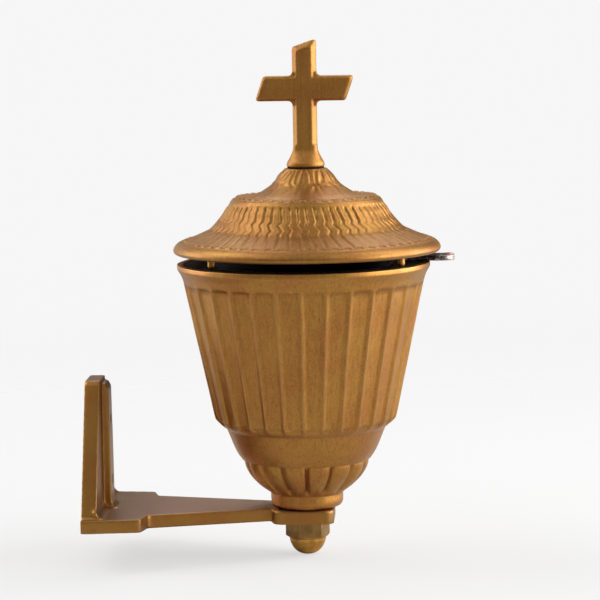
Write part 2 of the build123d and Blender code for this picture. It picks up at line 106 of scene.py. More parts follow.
def trimmed(run, corner):
    """The run with a length cut off each end: the corner's, or less where the run is short."""
    along = np.concatenate([[0], np.cumsum(np.linalg.norm(np.diff(run, axis=0), axis=1))])
    cut = min(corner, 0.3 * along[-1])
    end = along[-1] - cut
    keep = (along > cut + 1e-6) & (along < end - 1e-6)
    marks = np.concatenate([[cut], along[keep], [end]])
    return np.column_stack([np.interp(marks, along, run[:, i]) for i in range(run.shape[1])])


def closed_outline(stretches, corner):
    """Joins (tag, step, points) stretches into one closed outline with softened corners."""
    runs = [smooth_run(points, step) for _, step, points in stretches]
    bodies = [trimmed(run, corner) for run in runs]
    outline = []
    tags = []
    for index, body in enumerate(bodies):
        start, join, end = body[-1], runs[index][-1], bodies[(index + 1) % len(bodies)][0]
        turn = [(1 - t) ** 2 * start + 2 * t * (1 - t) * join + t ** 2 * end for t in (0.25, 0.5, 0.75)]
        outline.extend([*body, *turn])
        tags.extend([stretches[index][0]] * (len(body) + len(turn)))
    return np.array(outline), np.array(tags)


def outline_normals(outline):
    """Outward unit normals of a closed outline that runs anticlockwise in (radius, height)."""
    tangent = np.roll(outline, -1, axis=0) - np.roll(outline, 1, axis=0)
    tangent /= np.linalg.norm(tangent, axis=1)[:, None]
    return np.column_stack([tangent[:, 1], -tangent[:, 0]])


def mesh_object(name, vertices, faces, offset=ON_ARM):
    """A smooth-shaded mesh object from points in millimetres."""
    mesh = bpy.data.meshes.new(name)
    mesh.from_pydata(((np.asarray(vertices) + offset) * MM).tolist(), [], faces)
    mesh.validate()
    mesh.update()
    mesh.shade_smooth()
    made = bpy.data.objects.new(name, mesh)
    bpy.context.scene.collection.objects.link(made)
    return made


def ring_faces(rings, columns, closed=False):
    """Quads between neighbouring rings of points. closed also joins the last ring to the first."""
    faces = []
    for ring in range(rings if closed else rings - 1):
        low = ring * columns
        high = (ring + 1) % rings * columns
        for i in range(columns):
            j = (i + 1) % columns
            faces.append((low + i, low + j, high + j, high + i))
    return faces


def tube_faces(rings, columns):
    """Faces of a tube of rings with both ends capped."""
    caps = [tuple(range(columns))[::-1], tuple(range((rings - 1) * columns, rings * columns))]
    return caps + ring_faces(rings, columns)


def turned_points(radius, height, theta):
    """Points in space of rings given by their radii and heights, one column for each theta."""
    return np.stack([radius * np.cos(theta), radius * np.sin(theta), height], axis=-1).reshape(-1, 3)


def lathe(name, stretches, columns, relief, corner, offset=ON_ARM):
    """Closed shell turned about an axis.

    relief gives each point's move along the outline's normal, and its move straight outwards.
    """
    outline, tags = closed_outline(stretches, corner)
    normals = outline_normals(outline)
    theta = np.arange(columns) * 2 * math.pi / columns
    radius = np.repeat(outline[:, :1], columns, axis=1)
    height = np.repeat(outline[:, 1:], columns, axis=1)
    along_normal, outwards = relief(radius, height, theta[None, :], tags[:, None])
    radius = radius + along_normal * normals[:, :1] + outwards
    height = height + along_normal * normals[:, 1:]
    faces = ring_faces(len(outline), columns, closed=True)
    return mesh_object(name, turned_points(radius, height, theta), faces, offset)


def spindle(name, profile, columns, step, turn=0.0, sides=None, flat_r=0.0, flat_low=0.0):
    """Solid turned about an axis, with poles on it. With sides, it is cut to a prism above flat_low."""
    runs = [smooth_run(points, step) for points in profile]
    outline = [runs[0][0]]
    for run in runs:
        outline.extend(run[1:])
    outline = np.array(outline)
    theta = np.arange(columns) * 2 * math.pi / columns
    radius = np.repeat(outline[1:-1, :1], columns, axis=1)
    height = np.repeat(outline[1:-1, 1:], columns, axis=1)
    if sides:
        sector = 2 * math.pi / sides
        bearing = np.mod(theta - math.radians(turn), sector) - sector / 2
        face_r = flat_r / np.cos(bearing)[None, :]
        blended = -np.log(np.exp(-radius * PRISM_EDGE) + np.exp(-face_r * PRISM_EDGE)) / PRISM_EDGE
        radius = np.where(height >= flat_low, blended, radius)
    poles = [[0, 0, outline[0, 1]], [0, 0, outline[-1, 1]]]
    vertices = np.vstack([turned_points(radius, height, theta), poles])
    rows = len(outline) - 2
    faces = ring_faces(rows, columns)
    low_pole = rows * columns
    last_ring = low_pole - columns
    for i in range(columns):
        j = (i + 1) % columns
        faces.append((low_pole, j, i))
        faces.append((low_pole + 1, last_ring + i, last_ring + j))
    return mesh_object(name, vertices, faces)


def ramp(value, low, high):
    """0 below low, 1 above high, smooth between."""
    t = np.clip((value - low) / (high - low), 0.0, 1.0)
    return t * t * (3 - 2 * t)


def round_noise(theta, height, waves, seed):
    """Smooth noise that closes round the axis and drifts with height, about -1 to 1."""
    draw = np.random.RandomState(seed)
    total = 0.0
    for wave in waves:
        phase, drift = draw.uniform(0, 2 * math.pi), draw.uniform(-0.35, 0.35)
        total = total + np.sin(wave * theta + phase + drift * height)
    return total / math.sqrt(len(waves))


# ================ cup

CONE_FOOT_Z = 43.6
CONE_TOP_Z = 111.5
FOOT_BOWL_Z = 6.6

CUP_STRETCHES = [
    ("foot", 1.5, [(6.25, -0.4), (14.5, -0.4)]),
    ("foot", 0.4, [(14.5, -0.4), (15.8, -0.1), (16.9, 0.8), (17.5, 2.0), (17.7, 3.4)]),
    ("foot", 1.2, [(17.7, 3.4), (17.7, 6.6)]),
    ("bowl", 0.8, [(17.7, 6.6), (20.2, 8.3), (22.6, 10.1), (26.6, 14.1), (29.2, 18.1), (30.3, 21.2),
                   (30.5, 23.2)]),
    ("lip", 0.4, [(30.5, 23.2), (31.6, 23.4)]),
    ("lip", 0.4, [(31.6, 23.4), (32.2, 24.4), (32.9, 25.3)]),
    ("band", 0.6, [(32.9, 25.3), (34.1, 27.3), (35.5, 30.3), (36.9, 33.8), (38.5, 37.8)]),
    ("ledge", 0.6, [(38.5, 37.8), (39.1, 38.9), (40.8, 40.2), (42.6, 41.6), (44.2, 43.4)]),
    ("cone", 1.5, [(44.2, 43.4), (44.5, 44.4), (46.6, 54.0), (58.4, 110.0)]),
    ("rim", 0.6, [(58.4, 110.0), (58.8, 111.6), (59.8, 114.2), (61.2, 116.6)]),
    ("rim", 0.6, [(61.2, 116.6), (61.5, 117.3), (61.5, 119.5)]),
    ("rim", 0.8, [(61.5, 119.5), (58.5, 119.5)]),
    ("seat", 1.5, [(58.5, 119.5), (58.5, 115.5)]),
    ("seat", 1.5, [(58.5, 115.5), (55.3, 115.5)]),
    ("inside", 6.0, [(55.3, 115.5), (54.3, 109.5)]),
    ("inside", 9.0, [(54.3, 109.5), (41.0, 46.0)]),
    ("inside", 3.0, [(41.0, 46.0), (35.0, 37.5), (30.6, 27.0), (25.5, 18.0), (16.0, 10.0)]),
    ("inside", 3.0, [(16.0, 10.0), (6.25, 10.0)]),
    ("inside", 3.0, [(6.25, 10.0), (6.25, -0.4)]),
]
FLUTE_DEPTH = 1.15
FLUTE_SAG = 0.25             # how far a channel's middle lies below its sides
RIDGE_WIDTH = 1.15           # of the round ridge between two channels
FLUTE_TURN = math.radians(1.2)
FLUTE_ARCH_Z = CONE_TOP_Z - 0.9
LOBE_DEPTH = 1.3
LOBE_SWELL = 1.2
LOBE_GROOVE_WIDTH = 0.9
LOBE_TURN = math.radians(2.7)
RIM_SHRINK = 0.06            # keeps the uneven rim inside its true size
FRONT = -math.pi / 2


def sector_place(theta, turn, count):
    """Place across each of count equal sectors, -1 to 1."""
    return np.mod((theta - FRONT - turn) * count / (2 * math.pi), 1.0) * 2 - 1


def cup_relief(radius, height, theta, tags):
    """Thirty shallow flutes on the cone and fifteen swelling lobes on the foot bowl."""
    across = sector_place(theta, FLUTE_TURN, FLUTES)
    from_ridge = (1 - np.abs(across)) * math.pi * radius / FLUTES
    channel = (1 - np.exp(-(from_ridge / RIDGE_WIDTH) ** 2)) + FLUTE_SAG * (1 - across ** 2)
    arch_top = FLUTE_ARCH_Z - 0.5 * np.abs(across) ** 3
    flute_reach = ramp(height, CONE_FOOT_Z - 4.2, CONE_FOOT_Z - 0.6)
    flute_reach = flute_reach * (1 - ramp(height, arch_top - 1.8, arch_top + 0.5))
    flutes = -FLUTE_DEPTH * channel * flute_reach * np.isin(tags, ("cone", "rim", "ledge"))
    beside = sector_place(theta, LOBE_TURN, LOBES)
    from_groove = (1 - np.abs(beside)) * math.pi * radius / LOBES
    groove = np.exp(-(from_groove / LOBE_GROOVE_WIDTH) ** 2)
    lobe_reach = ramp(height, FOOT_BOWL_Z + 0.2, FOOT_BOWL_Z + 3.0)
    lobes = (-LOBE_DEPTH * groove - LOBE_SWELL * beside ** 2) * lobe_reach * (tags == "bowl")
    outside = (tags != "seat") & (tags != "inside")
    wobble = 0.05 * round_noise(theta, height, (5, 9, 14, 23), SEED) * outside
    return lobes + wobble - RIM_SHRINK * (tags == "rim"), flutes


def make_cup():
    return lathe("cup_fluted", CUP_STRETCHES, columns=540, relief=cup_relief, corner=0.45)


# ================ lid

LID_STRETCHES = [
    ("rim", 0.6, [(60.3, 124.2), (62.5, 124.2)]),
    ("rim", 0.5, [(62.5, 124.2), (63.9, 124.6), (64.8, 125.4), (65.0, 126.3), (64.75, 127.3),
                  (64.0, 128.5), (62.8, 129.6), (61.4, 130.35), (60.3, 130.7)]),
    ("lower", 0.55, [(60.3, 130.7), (58.3, 131.2), (53.9, 133.0), (50.5, 134.5), (47.6, 135.9),
                     (45.4, 137.9), (43.7, 139.8), (42.0, 141.8), (40.5, 143.9), (39.5, 145.7),
                     (38.2, 147.3)]),
    ("roll", 0.5, [(38.2, 147.3), (37.5, 148.3), (36.7, 149.6), (35.6, 150.9), (34.2, 151.75),
                   (32.6, 151.9)]),
    ("upper", 0.6, [(32.6, 151.9), (28.6, 151.6), (25.7, 152.1), (22.8, 153.4), (19.6, 155.4),
                    (17.0, 157.3), (15.0, 159.3), (13.8, 161.2), (12.1, 163.2), (10.2, 165.0)]),
    ("top", 1.5, [(10.2, 165.1), (3.2, 165.1)]),
    ("inside", 3.0, [(3.2, 165.1), (3.2, 161.5)]),
    ("inside", 3.0, [(3.2, 161.5), (8.6, 161.5)]),
    ("inside", 4.0, [(8.6, 161.5), (14.2, 155.8), (23.5, 149.0), (32.0, 148.3), (37.2, 142.5),
                     (43.2, 135.4), (52.0, 130.5), (60.0, 127.6)]),
    ("inside", 3.0, [(60.0, 127.6), (60.3, 124.2)]),
]
RIPPLE_TOP_Z = 149.0
FIRST_KINK_Z = 141.7
SECOND_KINK_Z = 137.6
RIPPLE_END_Z = 131.9
RIPPLE_WIDTH = 0.15          # of the groove between two ripples, in ripple widths
SHOULDER_R = 33.6
RIM_SEAM_R = 59.4
NECK_KINK_Z = 158.0
NECK_STREAK_END_Z = 155.0
NECK_TOP_Z = 165.0
RIM_SEAM_LOW_Z = 129.0       # the seams' relief stays above these heights
SHOULDER_LOW_Z = 150.0
HAMMERED_R = 58.0
LID_RIM_SHRINK = 0.08        # keeps the relief inside the lid's true size


def ripple_phase(height):
    """Sideways shift of the ripples, in ripple widths: slants joined by two quick kinks."""
    levels = (RIPPLE_END_Z, SECOND_KINK_Z - 0.7, SECOND_KINK_Z + 0.7, FIRST_KINK_Z - 0.7,
              FIRST_KINK_Z + 0.7, FIRST_KINK_Z + 2.6, RIPPLE_TOP_Z)
    shifts = (-0.48, -0.12, -0.34, 0.18, -0.04, 0.06, 0.26)
    return np.interp(height, levels, shifts)


def ripple_strength(height):
    """Depth of the ripples in millimetres, deepest under the shoulder."""
    levels = (RIPPLE_END_Z, SECOND_KINK_Z - 1.0, SECOND_KINK_Z + 1.0, FIRST_KINK_Z - 0.8,
              FIRST_KINK_Z + 0.8, RIPPLE_TOP_Z)
    depths = (0.26, 0.36, 0.40, 0.46, 0.66, 0.66)
    fading = ramp(height, RIPPLE_TOP_Z - 1.6, RIPPLE_TOP_Z + 0.2)
    return np.interp(height, levels, depths) * (1 - fading)


def ripples(height, theta, turn):
    """Wavy radial grooves below the shoulder."""
    wander = 0.07 * round_noise(theta, height * 0.6, (3, 7, 11, 17), SEED + 1)
    count = turn * RIPPLES / (2 * math.pi) + ripple_phase(height) + wander
    place_in_ripple = np.mod(count, 1.0) - 0.5
    groove = np.exp(-(place_in_ripple / RIPPLE_WIDTH) ** 2)
    uneven = 1 + 0.25 * round_noise(theta, height, (8, 13, 21, 34), SEED + 2)
    return (-groove - 0.5 * np.abs(place_in_ripple)) * ripple_strength(height) * uneven


def beads(turn, count):
    """Row of short raised dashes round a seam, 0 to 1."""
    return ramp(np.cos(count * turn), -0.35, 0.35)


def near(radius, seam_r, width):
    """1 on a seam's radius, falling to 0 within about twice the width."""
    return np.exp(-((radius - seam_r) / width) ** 2)


def rim_seam(radius, turn):
    """Row of beads where the lower tier meets the rim, with a groove outside it."""
    row = (0.85 * beads(turn, RIPPLES) - 0.5) * near(radius, RIM_SEAM_R, 0.7)
    return row - 0.45 * near(radius, RIM_SEAM_R + 1.1, 0.5)


def shoulder_seam(radius, turn):
    """Row of beads on the shoulder, with a groove outside it."""
    row = (0.85 * beads(turn, SHOULDER_NICKS) - 0.65) * near(radius, SHOULDER_R, 0.8)
    return row - 0.4 * near(radius, SHOULDER_R + 1.3, 0.6)


def neck_streaks(height, theta, turn):
    """Loose upright streaks in patches round the neck, with one kink."""
    levels = (NECK_STREAK_END_Z, NECK_KINK_Z - 0.7, NECK_KINK_Z + 0.7, NECK_TOP_Z)
    shift = np.interp(height, levels, (0.0, -0.3, 0.25, -0.1))
    drift = 0.36 * round_noise(theta, height * 0.8, (2, 5, 9), SEED + 3)
    streak = np.cos(turn * NECK_STREAKS + 2 * math.pi * (drift + shift))
    patch = 0.75 + 0.45 * round_noise(theta, height * 1.4, (4, 7, 12), SEED + 4)
    hold = ramp(height, NECK_STREAK_END_Z - 2.0, NECK_STREAK_END_Z + 2.5)
    hold = hold * (1 - ramp(height, NECK_TOP_Z - 1.0, NECK_TOP_Z))
    return 0.22 * hold * (streak - 0.7) * patch


def lid_relief(radius, height, theta, tags):
    """Chased texture of the lid: ripples, two beaded seams, neck streaks and faint hammering."""
    turn = theta - FRONT
    hammered = 0.05 * round_noise(theta, height * 2.2, (16, 27, 41), SEED + 5)
    on_rim_seam = np.isin(tags, ("lower", "rim")) & (height > RIM_SEAM_LOW_Z)
    on_shoulder_seam = np.isin(tags, ("roll", "upper")) & (height > SHOULDER_LOW_Z)
    moved = ripples(height, theta, turn) * np.isin(tags, ("lower", "roll"))
    moved = moved + rim_seam(radius, turn) * on_rim_seam
    moved = moved + shoulder_seam(radius, turn) * on_shoulder_seam
    moved = moved + neck_streaks(height, theta, turn) * (tags == "upper")
    moved = moved + hammered * np.isin(tags, ("lower", "upper")) * (radius < HAMMERED_R)
    return moved - LID_RIM_SHRINK * (tags == "rim"), 0.0


def make_lid():
    return lathe("lid_chased", LID_STRETCHES, columns=900, relief=lid_relief, corner=0.4,
                 offset=ON_ARM_UNDER_LID)


# ================ castings made from joined prisms

def prism(outline, low, high, axis="z"):
    """Closed prism as (vertices, faces): outline extruded from low to high along z, x or y."""
    order = {"z": (0, 1, 2), "x": (2, 0, 1), "y": (0, 2, 1)}[axis]
    points = [(a, b, level) for level in (low, high) for a, b in outline]
    vertices = [tuple(point[i] for i in order) for point in points]
    return vertices, tube_faces(2, len(outline))


def joined(name, solids, offset):
    """Overlapping closed solids in one mesh, with their faces turned outwards."""
    vertices = []
    faces = []
    for solid_vertices, solid_faces in solids:
        base = len(vertices)
        vertices.extend(solid_vertices)
        faces.extend([tuple(base + i for i in face) for face in solid_faces])
    made = mesh_object(name, vertices, faces, offset)
    work = bmesh.new()
    work.from_mesh(made.data)
    bmesh.ops.recalc_face_normals(work, faces=work.faces)
    work.to_mesh(made.data)
    work.free()
    return made


def apply_modifiers(made):
    """Replaces the object's mesh by the result of its modifiers."""
    bpy.context.view_layer.update()
    graph = bpy.context.evaluated_depsgraph_get()
    mesh = bpy.data.meshes.new_from_object(made.evaluated_get(graph))
    old = made.data
    made.modifiers.clear()
    made.data = mesh
    mesh.name = made.name
    bpy.data.meshes.remove(old)
    made.data.shade_smooth()


def cast_soft(made, voxel, smoothing, repeats):
    """Fuses the joined solids and rounds their edges, as sand casting does."""
    fuse = made.modifiers.new("fuse", "REMESH")
    fuse.mode = "VOXEL"
    fuse.voxel_size = voxel * MM
    fuse.use_smooth_shade = True
    soften = made.modifiers.new("soften", "SMOOTH")
    soften.factor = smoothing
    soften.iterations = repeats
    apply_modifiers(made)


def cut_holes(made, cutters):
    """Boolean difference with each cutter, which is then removed."""
    for cutter in cutters:
        drill = made.modifiers.new("drill", "BOOLEAN")
        drill.operation = "DIFFERENCE"
        drill.solver = "EXACT"
        drill.object = cutter
    apply_modifiers(made)
    for cutter in cutters:
        bpy.data.objects.remove(cutter)


def round_bar(name, radius, start, end, sides=64):
    """Plain cylinder in millimetres of the row frame, used as a cutter."""
    start, end = Vector(start), Vector(end)
    turn = (end - start).to_track_quat("Z", "Y").to_matrix()
    vertices = []
    for along in (start, end):
        for i in range(sides):
            angle = 2 * math.pi * i / sides
            spoke = Vector((radius * math.cos(angle), radius * math.sin(angle), 0))
            vertices.append(tuple(along + turn @ spoke))
    return mesh_object(name, vertices, tube_faces(2, sides), np.zeros(3))


# ================ bracket

BRACKET_LOW, BRACKET_HIGH = (np.array(corner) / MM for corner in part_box("wall_bracket"))
PLATE_THICK = 7.5
PLATE_HALF_FOOT = BRACKET_HIGH[1]
PLATE_HALF_TOP = 12.0
RIB_HALF = 7.0
RIB_PROUD = 4.0
RIB_LEAN = 0.5               # of the rib's front face, from foot to top
PLATE_EASE = (0.3, 1.5)      # of the plate's top corners, outwards and down
PLATE_CUT = 1.4              # width that those corners lose at the top
ARM_LOW = ARM_TOP - 6.5
PAD_LOW = BRACKET_LOW[2]
FACING_R = 16.7              # of the cut that faces the pad
PLATE_TOP = BRACKET_HIGH[2]
WEB = 4.0                    # radius of the concave corners
WEB_HALF = 38.0              # half width of the plate's web
WEB_SINK = 1.5               # how far a web reaches into both walls
PAD_HALF = 15.0
PAD_CORNER = 4.5
PAD_CENTRE_X = BRACKET_HIGH[0] - PAD_HALF
SCREW_HALF_SPACING = 15.0
SCREW_R = 2.5
BOLT_HOLE_R = 6.25
ARM_SIDE = [(0.0, 41.0), (27.0, 38.1), (28.6, 37.3), (29.9, 32.8), (31.0, 27.6), (32.6, 26.5),
            (95.5, 9.4)]


def pad_outline(steps=10):
    """A square with round corners, anticlockwise from the +X side."""
    flat = PAD_HALF - PAD_CORNER
    outline = []
    for quarter, (sx, sy) in enumerate(((1, 1), (-1, 1), (-1, -1), (1, -1))):
        for i in range(steps + 1):
            angle = math.pi / 2 * (quarter + i / steps)
            outline.append((PAD_CENTRE_X + sx * flat + PAD_CORNER * math.cos(angle),
                            sy * flat + PAD_CORNER * math.sin(angle)))
    return outline


def web_outline(face_x, steps=8):
    """Concave corner web in (x, z), sunk a little into both walls."""
    centre_x, centre_z = face_x + WEB, ARM_TOP + WEB
    outline = [(face_x - WEB_SINK, ARM_TOP - WEB_SINK), (centre_x, ARM_TOP - WEB_SINK)]
    for i in range(steps + 1):
        angle = math.pi * (1.5 - i / steps / 2)
        outline.append((centre_x + WEB * math.cos(angle), centre_z + WEB * math.sin(angle)))
    outline.append((face_x - WEB_SINK, centre_z))
    return outline


def plate_outline():
    """Wall plate in (y, z): a trapezium with eased top corners."""
    out, down = PLATE_EASE
    half_top = [(PLATE_HALF_TOP + out, PLATE_TOP - down), (PLATE_HALF_TOP - PLATE_CUT, PLATE_TOP)]
    right = [(PLATE_HALF_FOOT, ARM_LOW)] + half_top
    return [(-PLATE_HALF_FOOT, ARM_LOW)] + right + [(-y, z) for y, z in reversed(half_top)]


def rib_outline():
    """Screw rib in (x, z), let into the plate and rounded at its top."""
    front = PLATE_THICK + RIB_PROUD
    return [(PLATE_THICK - 2, ARM_TOP - 1), (front, ARM_TOP - 1), (front - RIB_LEAN, PLATE_TOP - 4.5),
            (front - 2.0, PLATE_TOP - 1.7), (PLATE_THICK - 2, PLATE_TOP - 1.5)]


def make_bracket():
    """Wall plate, screw rib and arm with its pad, fused with soft edges and drilled."""
    facing_z = ARM_TOP - PAD_DROP
    arm = ARM_SIDE + [(x, -y) for x, y in reversed(ARM_SIDE)]
    solids = [
        prism(plate_outline(), 0.0, PLATE_THICK, "x"),
        prism(rib_outline(), -RIB_HALF, RIB_HALF, "y"),
        prism(arm, ARM_LOW, ARM_TOP, "z"),
        prism(pad_outline(), PAD_LOW, facing_z, "z"),
        prism(web_outline(PLATE_THICK), -WEB_HALF, WEB_HALF, "y"),
        prism(web_outline(PLATE_THICK + RIB_PROUD), -RIB_HALF, RIB_HALF, "y"),
    ]
    bracket = joined("bracket_cast", solids, np.zeros(3))
    cast_soft(bracket, voxel=0.62, smoothing=0.5, repeats=5)
    holes = [round_bar(f"screw_cut_{i}", SCREW_R, (-5, 0, z), (25, 0, z))
             for i, z in enumerate((-SCREW_HALF_SPACING, SCREW_HALF_SPACING))]
    holes.append(round_bar("bolt_cut", BOLT_HOLE_R, (AXIS_X, 0, PAD_LOW - 5), (AXIS_X, 0, ARM_TOP + 5)))
    holes.append(round_bar("facing_cut", FACING_R, (AXIS_X, 0, facing_z), (AXIS_X, 0, facing_z + 5),
                           sides=128))
    cut_holes(bracket, holes)
    return bracket


# ================ cross finial

CROSS_FOOT_Z = 165.8
POST_HALF = 5.85
POST_LOW_Z = 172.0
POST_TOP_LEFT = 223.5
POST_TOP_RIGHT = 227.6
BAR_LOW_Z = 197.6
BAR_HIGH_Z = 209.7
BAR_LONG = 24.0
BAR_SHORT = 19.8
CROSS_WEB = 2.0              # fillet in the four inner corners
STUD_HOLE_TOP = 13.1
POST_OUTLINE = [(-POST_HALF, POST_LOW_Z), (POST_HALF, POST_LOW_Z), (POST_HALF, POST_TOP_RIGHT),
                (-POST_HALF, POST_TOP_LEFT)]
BAR_OUTLINE = [(-BAR_LONG, BAR_LOW_Z), (BAR_SHORT, BAR_LOW_Z), (BAR_LONG, BAR_HIGH_Z),
               (-BAR_SHORT, BAR_HIGH_Z)]
# inset and half depth, from side to front
POST_EDGE = [(0.0, 1.2), (0.25, 1.9), (2.1, 4.3), (2.6, 4.5)]
BAR_EDGE = [(0.0, 2.7), (0.3, 3.5), (0.9, 4.2), (1.7, 4.45)]
CORNER_ROUND = 1.5
CROSS_WEB_SINK = 1.0         # how far the inner corners' webs reach into the post
CROSS_WEB_DEPTH = 3.4
STUD_HOLE_R = 3.05
# height, half width, half depth, squareness: round at the bottom, the post's own section at the top
FOOT_LOFT = [
    [(165.8, 8.8, 8.8, 2.0), (166.2, 9.2, 9.2, 2.0), (167.3, 9.2, 9.2, 2.0), (168.1, 8.9, 8.8, 2.1)],
    [(168.1, 8.9, 8.8, 2.1), (170.2, 7.7, 7.1, 2.4), (172.2, 6.7, 5.7, 2.9), (174.0, 6.05, 4.8, 3.6),
     (176.5, 5.8, 4.45, 4.5)],
]


def inset(outline, distance):
    """Polygon moved inwards by a distance, corner by corner, for an anticlockwise outline."""
    points = [Vector(p) for p in outline]
    moved = []
    for i, here in enumerate(points):
        before = (here - points[i - 1]).normalized()
        after = (points[(i + 1) % len(points)] - here).normalized()
        inward_before = Vector((-before.y, before.x))
        inward_after = Vector((-after.y, after.x))
        middle = (inward_before + inward_after).normalized()
        moved.append(here + middle * distance / middle.dot(inward_before))
    return [tuple(p) for p in moved]


def rounded(outline, radius, steps=5):
    """Polygon with its corners turned into short curves."""
    points = [Vector(p) for p in outline]
    curve = []
    for i, here in enumerate(points):
        before = (points[i - 1] - here).normalized()
        after = (points[(i + 1) % len(points)] - here).normalized()
        cut = radius / math.tan(before.angle(after) / 2)
        start = here + before * cut
        end = here + after * cut
        for step in range(steps + 1):
            t = step / steps
            curve.append(tuple(start.lerp(here, t).lerp(here.lerp(end, t), t)))
    return curve


def soft_slab(outline, edge):
    """Slab about the plane y = 0 whose front and back edges follow the edge's inset steps."""
    front = [(rounded(inset(outline, distance), CORNER_ROUND), depth) for distance, depth in edge]
    layers = [(ring, -depth) for ring, depth in reversed(front)] + front
    vertices = [(x, y, z) for ring, y in layers for x, z in ring]
    return vertices, tube_faces(len(layers), len(front[0][0]))


def foot_loft(columns=96):
    """Flared foot that turns from a round base into the post's section."""
    rows = [row for points in FOOT_LOFT for row in smooth_run(points, 0.5)]
    vertices = []
    for height, half_width, half_depth, squareness in rows:
        for i in range(columns):
            angle = 2 * math.pi * i / columns
            across, deep = math.cos(angle), math.sin(angle)
            reach = (abs(across) ** squareness + abs(deep) ** squareness) ** (-1 / squareness)
            vertices.append((half_width * across * reach, half_depth * deep * reach, height))
    return vertices, tube_faces(len(rows), columns)


def inner_corner(side, height, up, steps=8):
    """Concave web where the post meets the bar. side and up are 1 or -1."""
    inner = side * (POST_HALF - CROSS_WEB_SINK)
    outline = [(inner, height - up * CROSS_WEB_SINK),
               (side * (POST_HALF + CROSS_WEB), height - up * CROSS_WEB_SINK)]
    for i in range(steps + 1):
        angle = math.pi / 2 * i / steps
        outline.append((side * (POST_HALF + CROSS_WEB * (1 - math.sin(angle))),
                        height + up * CROSS_WEB * (1 - math.cos(angle))))
    outline.append((inner, height + up * CROSS_WEB))
    return prism(outline, -CROSS_WEB_DEPTH, CROSS_WEB_DEPTH, "y")


def make_cross():
    """Latin cross with slanted ends and wear-softened edges on a flared foot."""
    solids = [soft_slab(POST_OUTLINE, POST_EDGE), soft_slab(BAR_OUTLINE, BAR_EDGE), foot_loft()]
    for side in (-1, 1):
        solids.append(inner_corner(side, BAR_HIGH_Z, 1))
        solids.append(inner_corner(side, BAR_LOW_Z, -1))
    cross = joined("cross_cast", solids, ON_ARM_UNDER_LID)
    cast_soft(cross, voxel=0.34, smoothing=0.5, repeats=12)
    x, z = LID_AXIS_X, ARM_TOP + CROSS_FOOT_Z
    cut_holes(cross, [round_bar("stud_cut", STUD_HOLE_R, (x, 0, z - 5), (x, 0, z + STUD_HOLE_TOP))])
    return cross


# ================ cap nut

NUT_TURN = 11.0
HEX_LOW_Z = -16.0
HEX_HALF = 9.5               # half of the width across flats
NUT_PROFILE = [
    [(0.0, -24.5), (2.5, -24.25), (4.9, -23.3), (6.8, -21.6), (8.15, -19.4), (8.8, -17.6),
     (8.9, -16.6)],
    [(8.9, -16.6), (9.0, -16.1), (9.4, -15.8)],
    [(9.4, -15.8), (10.7, -15.0), (11.1, -14.6)],
    [(11.1, -14.6), (11.1, -8.2)],
    [(11.1, -8.2), (10.6, -7.6), (10.2, -7.5)],
    [(10.2, -7.5), (6.05, -7.5)],
    [(6.05, -7.5), (6.05, -19.5)],
    [(6.05, -19.5), (0.0, -19.5)],
]


def make_nut():
    return spindle("nut_acorn", NUT_PROFILE, columns=360, step=0.4, turn=NUT_TURN, sides=6,
                   flat_r=HEX_HALF, flat_low=HEX_LOW_Z)


# ================ small turned pieces

def make_pin(node):
    """Round-ended pin in the place of its CAD node."""
    low, high = (np.array(corner) / MM - ON_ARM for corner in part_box(node))
    radius = (high[0] - low[0]) / 2
    foot, top = low[2], high[2]
    profile = [
        [(0.0, foot), (0.45 * radius, foot + 0.1), (0.8 * radius, foot + 0.55), (radius, foot + 1.4)],
        [(radius, foot + 1.4), (radius, top)],
        [(radius, top), (0.0, top)],
    ]
    pin = spindle(node + "_turned", profile, columns=40, step=0.35)
    pin.data.transform(Matrix.Translation(Vector(((low + high) / 2 * (MM, MM, 0)).tolist())))
    return pin


# ================ sprinkler handle

HANDLE_LOW_Z = 119.8
STRIP_THICK = 1.4
STRIP_HALF = 4.5
GRIP_TIP_X = 73.3
GRIP_HALF = 8.5
GRIP_EXTRA = 1.4             # how much thicker the grip is than the strip
GRIP_FROM_X = 54.0           # where the thickening starts
GRIP_FULL_X = 58.0
WIDEN_FROM_X = 55.0
WIDEN_FULL_X = 65.0
CRANK_X = 45.0
CRANK_ANGLE = math.radians(50.0)
CRANK_LENGTH = 61.0
CRANK_RADIUS = 5.0
HAMMER_BUMPS = 24
HAMMER_DEPTH = 0.22
GRIP_SHRINK = 0.08           # keeps the hammered faces inside the grip's true size
TIP_BLUNTNESS = 2.6
BOXINESS = (0.32, 0.3)       # of the cross-section, across and upwards: 1 is an ellipse, 0 a box
EYELET_HOLE_R = 1.62


def handle_line(step=0.5, down_step=1.2, bend_steps=12):
    """Centre line of the strip in (x, z) from the tip in: along the rim, round the bend and down."""
    level = HANDLE_LOW_Z + STRIP_THICK / 2
    tangent = CRANK_RADIUS * math.tan(CRANK_ANGLE / 2)
    bend_start = CRANK_X + tangent
    line = [(x, level) for x in np.arange(GRIP_TIP_X, bend_start, -step)]
    for i in range(bend_steps + 1):
        angle = CRANK_ANGLE * i / bend_steps
        line.append((bend_start - CRANK_RADIUS * math.sin(angle),
                     level - CRANK_RADIUS * (1 - math.cos(angle))))
    run = CRANK_LENGTH - tangent
    start = np.array(line[-1])
    down = np.array([-math.cos(CRANK_ANGLE), -math.sin(CRANK_ANGLE)])
    for along in np.arange(step, run, down_step):
        line.append(tuple(start + down * along))
    line.append(tuple(start + down * run))
    return np.array(line)


